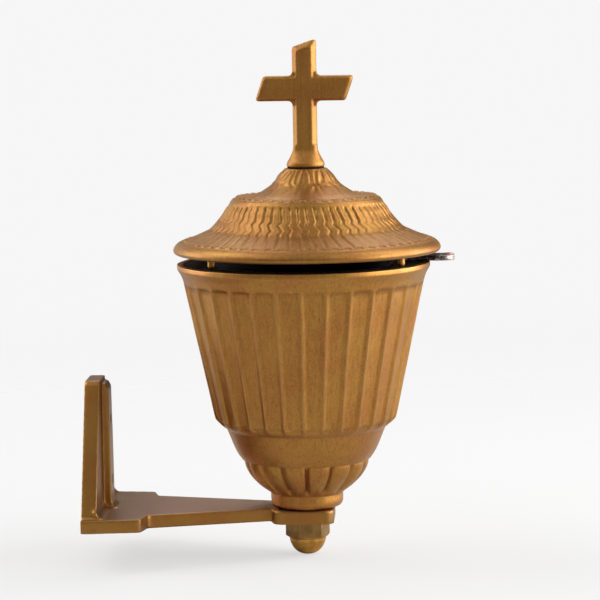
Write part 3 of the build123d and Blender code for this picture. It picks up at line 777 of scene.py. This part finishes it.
def handle_half_width(x):
    """Half width of the strip: a blunt round tip, the grip, and the narrow strip inside the rim."""
    if x > WIDEN_FULL_X:
        reach = (x - WIDEN_FULL_X) / (GRIP_TIP_X - WIDEN_FULL_X)
        return GRIP_HALF * math.sqrt(max(0.0, 1 - reach ** TIP_BLUNTNESS))
    return STRIP_HALF + (GRIP_HALF - STRIP_HALF) * float(ramp(x, WIDEN_FROM_X, WIDEN_FULL_X))


def signed_power(value, power):
    """The value's size to a power, with its sign kept."""
    return math.copysign(abs(value) ** power, value)


def handle_ring(x, z, up, bumps, across):
    """One boxy cross-section of the handle, hammered on the grip."""
    half = max(handle_half_width(x), 0.02)
    grip = float(np.clip((x - GRIP_FROM_X) / (GRIP_FULL_X - GRIP_FROM_X), 0, 1))
    extra = GRIP_EXTRA * grip
    ring = []
    for i in range(2 * across):
        angle = math.pi * (i + 0.5) / across
        y = signed_power(math.cos(angle), BOXINESS[0]) * half
        lift = signed_power(math.sin(angle), BOXINESS[1])
        waves = [math.sin(1.9 * a * x + 2.3 * b * y + 6 * c) for a, b, c, _ in bumps]
        hammered = sum(waves) / HAMMER_BUMPS
        edge = 1 - min(1.0, abs(y) / max(half, 0.1)) ** 4
        relief = math.copysign(HAMMER_DEPTH * hammered * edge, lift) - GRIP_SHRINK * lift
        height = (STRIP_THICK + extra) / 2 * lift + extra / 2 + relief * grip
        ring.append((x + up[0] * height, y, z + up[1] * height))
    return ring


def make_handle(across=18):
    """Flat handle with a hammered, dark surface."""
    line = handle_line()
    bumps = np.random.RandomState(SEED + 8).uniform(-1, 1, (HAMMER_BUMPS, 4))
    vertices = []
    for index, (x, z) in enumerate(line):
        before = line[max(index - 1, 0)]
        after = line[min(index + 1, len(line) - 1)]
        tangent = (after - before) / np.linalg.norm(after - before)
        vertices.extend(handle_ring(x, z, (tangent[1], -tangent[0]), bumps, across))
    handle = joined("handle_hammered", [(vertices, tube_faces(len(line), 2 * across))], ON_ARM)
    eyelet_low, eyelet_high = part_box("handle_eyelet")
    x = (eyelet_low[0] + eyelet_high[0]) / 2 / MM
    z = ARM_TOP + HANDLE_LOW_Z
    cut_holes(handle, [round_bar("eyelet_cut", EYELET_HOLE_R, (x, 0, z - 4), (x, 0, z + 6), sides=40)])
    return handle


# ================ materials

class Paint:
    """Node material with one Principled shader, and short calls for the nodes that feed it."""

    def __init__(self, name):
        self.material = bpy.data.materials.new(name)
        self.material.use_nodes = True
        self.tree = self.material.node_tree
        self.shader = self.tree.nodes["Principled BSDF"]

    def add(self, kind, **values):
        return add_node(self.tree, kind, **values)

    def set(self, **values):
        """Sets or links the shader's own inputs."""
        fill_inputs(self.tree, self.shader, values)

    def place(self):
        """The object's own coordinates, in metres."""
        return self.add("TexCoord").outputs["Object"]

    def along(self, vector, axis):
        return self.add("SeparateXYZ", Vector=vector).outputs[axis]

    def noise(self, scale, detail=4.0, roughness=0.6, distortion=0.0, squash=1.0):
        """Noise that follows the object. squash slows it along Z."""
        place = self.place()
        if squash != 1.0:
            place = self.add("Mapping", Vector=place, Scale=(1.0, 1.0, squash)).outputs["Vector"]
        return self.add("TexNoise", Vector=place, Scale=scale, Detail=detail, Roughness=roughness,
                        Distortion=distortion).outputs["Fac"]

    def ramp(self, value, stops):
        """Colour ramp with (position, colour) stops."""
        node = self.add("ValToRGB", Fac=value)
        while len(node.color_ramp.elements) < len(stops):
            node.color_ramp.elements.new(0.5)
        for element, (position, colour) in zip(node.color_ramp.elements, stops):
            element.position = position
            element.color = (*colour, 1.0)
        return node.outputs["Color"]

    def mix(self, factor, first, second, blend="MIX"):
        """Mixes two colours. Each may be a socket or an RGB triple."""
        node = self.add("Mix", data_type="RGBA", blend_type=blend)
        for index, value in ((0, factor), (6, first), (7, second)):
            fill_socket(self.tree, node.inputs[index], value)
        return node.outputs[2]

    def spread(self, value, low, high, to_low, to_high):
        """Maps the range from low to high onto another, and clamps it."""
        return self.add("MapRange", Value=value, From_Min=low, From_Max=high, To_Min=to_low,
                        To_Max=to_high).outputs["Result"]

    def bump(self, height, strength, distance, below=None):
        node = self.add("Bump", Height=height, Strength=strength, Distance=distance)
        if below is not None:
            self.tree.links.new(below, node.inputs["Normal"])
        return node.outputs["Normal"]


def fill_socket(tree, socket, value):
    """Links a socket, or gives an input its number, vector or RGB triple."""
    if isinstance(value, bpy.types.NodeSocket):
        tree.links.new(value, socket)
    elif socket.type == "RGBA":
        socket.default_value = (*value, 1.0)
    else:
        socket.default_value = value


def fill_inputs(tree, node, values):
    """Fills the inputs named by the keys, with _ for a space. Other keys are the node's settings."""
    for key, value in values.items():
        name = key.replace("_", " ")
        if name in node.inputs:
            fill_socket(tree, node.inputs[name], value)
        else:
            setattr(node, key, value)


def add_node(tree, kind, **values):
    node = tree.nodes.new("ShaderNode" + kind)
    fill_inputs(tree, node, values)
    return node


BRONZE_GOLD = (0.535, 0.253, 0.045)
BRONZE_RED = (0.495, 0.200, 0.038)
BRONZE_PALE = (0.640, 0.370, 0.140)
BRONZE_GROOVE = (0.120, 0.040, 0.010)
BRONZE_STREAK = (0.300, 0.130, 0.024)
# painted sky reflection for faces turned up, and painted shade near the wall and on faces turned away
# from it
SKY_REFLECTION = (0.52, 0.36, 0.30)
SHADE_BROWN = (0.10, 0.07, 0.05)
SHADE_FROM_X = 0.040         # metres from the wall, where the painted shade starts to show in the painted sky reflection
SHADE_FULL_X = 0.010
CLOUD_SCALE = 55.0
GRAIN_SCALE = 2300.0
FLECK_SCALE = 900.0
COAT_WEIGHT = 0.35           # thin clear lacquer, which pales the highlights
COAT_ROUGHNESS = 0.40
STREAK_SQUASH = 0.025        # how much slower the brushed streaks change up the object than across it


def bronze_material(name="bronze_satin", roughness=0.40, sheen_and_shade=0.0, level=1.0, wear_and_highlight=0.5):
    """Satin bronze: clouded gold and red-brown, streaks, grain, pale edges (wear and painted highlight)
    and dark hollows (patina and painted shade).

    level darkens this copy of the metal as painted shade. The argument for pale edges sets how pale its
    edges are, partly wear and partly painted highlight. The argument for sheen and shade sets how
    strongly a painted sky reflection lies on what faces up, with painted shade near the wall and on what
    faces away from it; a casting given it has no brushed streaks.
    """
    paint = Paint(name)
    cloud = paint.noise(CLOUD_SCALE, detail=3.0)
    streak = paint.noise(FLECK_SCALE, detail=3.0, squash=1.0 if sheen_and_shade else STREAK_SQUASH)
    fleck = paint.noise(FLECK_SCALE, detail=5.0, roughness=0.75)
    grain = paint.noise(GRAIN_SCALE, detail=2.0, roughness=0.7)
    base = paint.ramp(cloud, [(0.36, BRONZE_RED), (0.60, BRONZE_GOLD)])
    base = paint.mix(paint.spread(streak, 0.44, 0.68, 0.0, 0.48), base, BRONZE_STREAK)
    base = paint.mix(paint.spread(fleck, 0.54, 0.72, 0.0, 0.55), base, BRONZE_PALE)
    base = paint.mix(paint.spread(fleck, 0.46, 0.30, 0.0, 0.45), base, BRONZE_GROOVE)
    point = paint.add("NewGeometry").outputs["Pointiness"]
    # pale edges: partly wear, partly painted highlight
    base = paint.mix(paint.spread(point, 0.515, 0.58, 0.0, wear_and_highlight), base, BRONZE_PALE)
    # darker hollows: partly patina, partly painted shade
    base = paint.mix(paint.spread(point, 0.490, 0.42, 0.0, 0.85), base, BRONZE_GROOVE)
    # painted shade: level darkens this copy of the bronze
    if level < 1.0:
        base = paint.mix(1.0, base, (level, level, level), "MULTIPLY")
    if sheen_and_shade:
        # painted sky reflection on up-facing faces, with painted shade
        base = paint_sheen_and_shade(paint, base, sheen_and_shade)
    brushed = paint.bump(streak, 0.2, 0.0001)
    soft = paint.bump(fleck, 0.3, 0.00014, brushed)
    paint.set(Base_Color=base, Metallic=1.0, Coat_Weight=COAT_WEIGHT, Coat_Roughness=COAT_ROUGHNESS,
              Roughness=paint.spread(fleck, 0.3, 0.7, roughness - 0.05, roughness + 0.09),
              Normal=paint.bump(grain, 0.35, 0.00006, soft))
    return paint.material


def paint_sheen_and_shade(paint, base, sheen_and_shade):
    """Painted sky reflection on what faces up, painted shade on it near the wall, and painted shade on
    what faces away from the wall.
    """
    normal = paint.add("NewGeometry").outputs["Normal"]
    # painted shade: near the wall the up-facing faces lose the painted sky reflection
    wall_shade = paint.spread(paint.along(paint.place(), "X"), SHADE_FROM_X, SHADE_FULL_X, 0.0, 0.65)
    painted_top = paint.mix(wall_shade, SKY_REFLECTION, SHADE_BROWN)
    base = paint.mix(paint.spread(paint.along(normal, "Z"), 0.8, 1.0, 0.0, sheen_and_shade), base, painted_top)
    # painted shade on the faces turned away from the wall
    return paint.mix(paint.spread(paint.along(normal, "X"), 0.3, 0.9, 0.0, 0.35), base, SHADE_BROWN)


def nut_material():
    """Bronze of the cap nut: hexagon painted olive-brown and darker as shaded, dome painted golden and
    brighter as lit, with painted highlights on the edges.
    """
    paint = Paint("bronze_nut")
    cloud = paint.noise(160.0)
    # one bronze, with the hexagon darkened as painted shade and the dome brightened as painted light
    hexagon = paint.ramp(cloud, [(0.35, (0.25, 0.14, 0.045)), (0.7, (0.48, 0.27, 0.085))])
    dome = paint.ramp(cloud, [(0.35, (0.56, 0.28, 0.060)), (0.7, (0.95, 0.54, 0.125))])
    dome_top = (ARM_TOP + HEX_LOW_Z) * MM
    on_dome = paint.spread(paint.along(paint.place(), "Z"), dome_top + MM, dome_top, 0.0, 1.0)
    point = paint.add("NewGeometry").outputs["Pointiness"]
    # painted highlight on the nut's edges
    edge = paint.spread(point, 0.51, 0.56, 0.0, 0.6)
    base = paint.mix(edge, paint.mix(on_dome, hexagon, dome), (0.80, 0.47, 0.14))
    paint.set(Base_Color=base, Metallic=1.0, Roughness=paint.spread(cloud, 0.3, 0.7, 0.28, 0.40),
              Normal=paint.bump(paint.noise(1500.0), 0.2, 0.0001))
    return paint.material


WEAR_AND_HIGHLIGHT_FROM_X = 69.0           # from the cup's axis, where the handle's pale pinkish end starts, partly wear and partly painted highlight
WEAR_AND_HIGHLIGHT_FULL_X = 70.6


def pewter_material():
    """Dark tarnished metal with pale rubbed high spots and a pale pinkish end, partly wear and partly
    painted highlight.
    """
    paint = Paint("pewter_dark")
    blotch = paint.noise(520.0, detail=6.0, roughness=0.7, distortion=0.6)
    base = paint.ramp(blotch, [(0.36, (0.030, 0.026, 0.025)), (0.5, (0.15, 0.13, 0.12)),
                               (0.62, (0.50, 0.46, 0.43))])
    start, full = ((AXIS_X + x) * MM for x in (WEAR_AND_HIGHLIGHT_FROM_X, WEAR_AND_HIGHLIGHT_FULL_X))
    # pale pinkish end: partly wear, partly painted highlight
    wear_and_highlight = paint.spread(paint.along(paint.place(), "X"), start, full, 0.0, 0.85)
    base = paint.mix(wear_and_highlight, base, (0.56, 0.45, 0.41))
    paint.set(Base_Color=base, Metallic=0.9, Roughness=paint.spread(blotch, 0.35, 0.65, 0.55, 0.32),
              Normal=paint.bump(blotch, 0.6, 0.0004))
    return paint.material


def copper_material():
    """Worn copper of the eyelet."""
    paint = Paint("copper_worn")
    blotch = paint.noise(600.0)
    base = paint.ramp(blotch, [(0.3, (0.36, 0.15, 0.10)), (0.7, (0.78, 0.46, 0.38))])
    paint.set(Base_Color=base, Metallic=0.9, Roughness=0.38, Normal=paint.bump(blotch, 0.3, 0.0002))
    return paint.material


def liner_material():
    """Black moulded plastic with a faint mould texture, made darker still as painted shade in the gap
    under the lid.
    """
    paint = Paint("liner_black")
    grain = paint.noise(900.0, detail=3.0)
    # near-black: the plastic's own black, darkened further as painted shade
    base = paint.ramp(grain, [(0.3, (0.003, 0.0025, 0.002)), (0.7, (0.008, 0.007, 0.006))])
    paint.set(Base_Color=base, Specular_IOR_Level=0.2, Normal=paint.bump(grain, 0.15, 0.0001),
              Roughness=paint.spread(grain, 0.3, 0.7, 0.40, 0.52))
    return paint.material


def rubber_material():
    """Matt black rubber of the seals, tinted brown as a painted reflection of the bronze round them."""
    paint = Paint("rubber_brown")
    grain = paint.noise(1400.0, detail=3.0)
    # brown tint: painted reflection of the surrounding bronze
    base = paint.ramp(grain, [(0.3, (0.009, 0.004, 0.002)), (0.7, (0.024, 0.011, 0.006))])
    paint.set(Base_Color=base, Specular_IOR_Level=0.2, Roughness=0.85,
              Normal=paint.bump(grain, 0.4, 0.0002))
    return paint.material


def steel_material():
    """Zinc-plated steel of the hidden fasteners."""
    paint = Paint("steel_plated")
    cloud = paint.noise(220.0)
    base = paint.ramp(cloud, [(0.3, (0.42, 0.42, 0.40)), (0.7, (0.63, 0.63, 0.60))])
    paint.set(Base_Color=base, Metallic=1.0, Roughness=paint.spread(cloud, 0.3, 0.7, 0.25, 0.4),
              Normal=paint.bump(paint.noise(1800.0), 0.15, 0.0001))
    return paint.material


def sponge_material():
    """Open-cell sponge in the spray head."""
    paint = Paint("sponge_cells")
    distance = paint.add("TexVoronoi", Vector=paint.place(), Scale=900.0).outputs["Distance"]
    base = paint.ramp(distance, [(0.15, (0.20, 0.14, 0.06)), (0.6, (0.66, 0.56, 0.34))])
    paint.set(Base_Color=base, Roughness=0.9, Normal=paint.bump(distance, 0.8, 0.0006))
    return paint.material


def dress(made, material):
    """Gives an object one material in all its slots."""
    made.data.materials.clear()
    made.data.materials.append(material)


# ================ building

def place(piece, node, body, material, slot):
    """Stands a detailed piece in for its CAD node."""
    dress(piece, material)
    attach(piece, body)
    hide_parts(node)


def build_pieces():
    """Detailed pieces that replace CAD nodes, and materials for the nodes that stay."""
    bronze = bronze_material()
    # level darkens the bracket's, lid's and cross's copies of the bronze as painted shade
    sheen_and_shade = bronze_material("bronze_sheen_and_shade", sheen_and_shade=0.6, level=0.88)
    lid_bronze = bronze_material("bronze_lid", roughness=0.46, level=0.84)
    cross_bronze = bronze_material("bronze_cross", roughness=0.50, level=0.92, wear_and_highlight=0.1)
    pewter = pewter_material()
    place(make_cup(), "cup", "bracket_and_cup", bronze, "cast_bronze")
    # the bracket's copy of the bronze carries a painted sky reflection and painted shade
    place(make_bracket(), "wall_bracket", "bracket_and_cup", sheen_and_shade, "cast_bronze")
    place(make_nut(), "cap_nut", "bracket_and_cup", nut_material(), "nut_bronze")
    place(make_lid(), "lid", "lid_with_cross", lid_bronze, "cast_bronze")
    place(make_cross(), "cross_finial", "lid_with_cross", cross_bronze, "cast_bronze")
    place(make_handle(), "sprinkler_handle", "sprinkler", pewter, "dark_pewter")
    for number in (1, 2, 3):
        node = f"lid_pin_{number}"
        place(make_pin(node), node, "lid_with_cross", bronze, "cast_bronze")
    kept = [
        (liner_material(), ["liner"]),
        (copper_material(), ["handle_eyelet"]),
        (sponge_material(), ["sprinkler_sponge"]),
        (rubber_material(), ["foot_gasket", "inner_seal", "finial_gasket"]),
        (steel_material(), ["inner_washer", "clamp_bolt", "finial_stud", "finial_washer", "finial_nut"]),
        (pewter, ["sprinkler_ferrule", "sprinkler_head_upper", "sprinkler_head_lower"]),
    ]
    for material, nodes in kept:
        for node in nodes:
            dress(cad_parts[node], material)


# ================ stage, light and camera

FLOOR_Z = CAD_BOX[0][2]
FLOOR_RADIUS = 1.2
FLOOR_FADE = 0.12            # distance from the centre where the floor starts to fade
FLOOR_GONE = FLOOR_RADIUS * 0.97
FLOOR_GLOW = 0.60            # part of the floor's brightness in the camera that no shadow dims
FLOOR_SEEN = 0.28            # diffuse level of the rest
FLOOR_BOUNCE = 0.55          # diffuse level for the light that the object gets from the floor
WHITE = (0.922, 0.922, 0.922)
VIEW_AZIMUTH = 2.72          # degrees from the -Y side towards +X
VIEW_ELEVATION = 6.34
VIEW_ROLL = 0.93
VIEW_DISTANCE = 1.355        # metres, like the two below the lens
VIEW_LENS = 167.0
VIEW_HEIGHT = 0.1008         # of the point looked at, above the arm
VIEW_LEFT = 0.0020           # of the cup's axis


def grey_shader(tree, kind, level):
    """Plain BSDF of one grey level."""
    return add_node(tree, "Bsdf" + kind, Color=(level, level, level)).outputs["BSDF"]


def mixed_shader(tree, factor, first, second):
    """First shader where the factor is 0, second where it is 1."""
    node = add_node(tree, "MixShader", Fac=factor)
    tree.links.new(first, node.inputs[1])
    tree.links.new(second, node.inputs[2])
    return node.outputs["Shader"]


def make_floor():
    """Pale matt floor, fading into the background far from the object."""
    bpy.ops.mesh.primitive_circle_add(vertices=128, radius=FLOOR_RADIUS, fill_type="NGON",
                                      location=(AXIS_X * MM, 0, FLOOR_Z))
    floor = bpy.context.object
    floor.name = "floor"
    material = bpy.data.materials.new("floor_white")
    material.use_nodes = True
    tree = material.node_tree
    tree.nodes.clear()
    place = add_node(tree, "TexCoord").outputs["Object"]
    distance = add_node(tree, "VectorMath", operation="LENGTH", Vector=place).outputs["Value"]
    fade = add_node(tree, "MapRange", interpolation_type="SMOOTHSTEP", Value=distance,
                    From_Min=FLOOR_FADE, From_Max=FLOOR_GONE).outputs["Result"]
    camera_ray = add_node(tree, "LightPath").outputs["Is Camera Ray"]
    glow = add_node(tree, "Emission", Color=(1.0, 1.0, 1.0), Strength=FLOOR_GLOW).outputs["Emission"]
    seen = add_node(tree, "AddShader")
    tree.links.new(glow, seen.inputs[0])
    tree.links.new(grey_shader(tree, "Diffuse", FLOOR_SEEN), seen.inputs[1])
    bounce = grey_shader(tree, "Diffuse", FLOOR_BOUNCE)
    matt = mixed_shader(tree, camera_ray, bounce, seen.outputs["Shader"])
    surface = mixed_shader(tree, fade, matt, grey_shader(tree, "Transparent", 1.0))
    add_node(tree, "OutputMaterial", Surface=surface)
    floor.data.materials.append(material)


AMBIENT = 0.074
LOW_AMBIENT = 0.25           # below the horizon, for the pale sweep round the floor
SWEEP_FULL_Z = -0.03         # of the direction's Z, where the sweep is at its full level
SWEEP_END_Z = 0.06


def make_world():
    """Even white background. The object is lit by a dimmer sky, a pale sweep below it and the lamps."""
    world = bpy.data.worlds.new("studio")
    bpy.context.scene.world = world
    world.use_nodes = True
    tree = world.node_tree
    tree.nodes.clear()
    direction = add_node(tree, "TexCoord").outputs["Generated"]
    height = add_node(tree, "SeparateXYZ", Vector=direction).outputs["Z"]
    level = add_node(tree, "MapRange", Value=height, From_Min=SWEEP_FULL_Z, From_Max=SWEEP_END_Z,
                     To_Min=LOW_AMBIENT, To_Max=AMBIENT).outputs["Result"]
    lit = add_node(tree, "Background", Color=(1.0, 1.0, 1.0), Strength=level).outputs["Background"]
    seen = add_node(tree, "Background", Color=WHITE).outputs["Background"]
    camera_ray = add_node(tree, "LightPath").outputs["Is Camera Ray"]
    add_node(tree, "OutputWorld", Surface=mixed_shader(tree, camera_ray, lit, seen))


LIT_POINT_Z = 90.0           # height above the arm of the point that the lamps face


def softbox(name, bearing, elevation, distance, size, power):
    """Rectangular lamp aimed at the cup. bearing is from the -Y side towards +X, in degrees."""
    centre = Vector((AXIS_X * MM, 0, (ARM_TOP + LIT_POINT_Z) * MM))
    around, up = math.radians(bearing), math.radians(elevation)
    towards = Vector((math.sin(around) * math.cos(up), -math.cos(around) * math.cos(up), math.sin(up)))
    light = bpy.data.lights.new(name, "AREA")
    light.shape = "RECTANGLE"
    light.size, light.size_y = size
    light.energy = power
    lamp = bpy.data.objects.new(name, light)
    lamp.location = centre + towards * distance
    lamp.rotation_euler = (-towards).to_track_quat("-Z", "Y").to_euler()
    bpy.context.scene.collection.objects.link(lamp)


def make_lights():
    """A ring of softboxes: strong ones beside and behind the object, weak ones above and in front."""
    broad = (0.8, 0.8)
    tall = (0.7, 0.9)
    softbox("rim_right", 110, 10, 1.4, tall, 12.6)
    softbox("side_right", 72, 10, 1.4, tall, 10.4)
    softbox("high_right", 100, 48, 1.4, broad, 6.7)
    softbox("high_front_right", 40, 48, 1.4, broad, 2.1)
    softbox("rim_left", -110, 10, 1.4, tall, 7.0)
    softbox("side_left", -72, 10, 1.4, tall, 1.1)
    softbox("back_left", -150, 10, 1.4, tall, 1.1)
    softbox("high_left", -100, 48, 1.4, broad, 7.1)
    softbox("high_front_left", -40, 48, 1.4, broad, 2.3)
    softbox("high_back", 180, 48, 1.4, broad, 4.6)
    softbox("overhead", 0, 88, 1.5, (1.2, 1.2), 1.2)
    softbox("front", 0, 4, 1.9, (1.6, 1.2), 1.2)


def make_camera():
    """Long lens a little above the cup and a little to its right."""
    around, up = math.radians(VIEW_AZIMUTH), math.radians(VIEW_ELEVATION)
    back = Vector((math.sin(around) * math.cos(up), -math.cos(around) * math.cos(up), math.sin(up)))
    turn = (-back).to_track_quat("-Z", "Y").to_matrix()
    target = Vector((AXIS_X * MM, 0, ARM_TOP * MM + VIEW_HEIGHT)) - turn @ Vector((VIEW_LEFT, 0, 0))
    data = bpy.data.cameras.new("camera")
    data.lens = VIEW_LENS
    data.sensor_width = 36.0
    camera = bpy.data.objects.new("camera", data)
    roll = Matrix.Rotation(math.radians(-VIEW_ROLL), 3, "Z")
    camera.matrix_world = Matrix.Translation(target + back * VIEW_DISTANCE) @ (turn @ roll).to_4x4()
    bpy.context.scene.collection.objects.link(camera)
    bpy.context.scene.camera = camera


make_camera()
make_world()
make_lights()
build_pieces()
make_floor()
bpy.context.scene.view_settings.view_transform = "Standard"
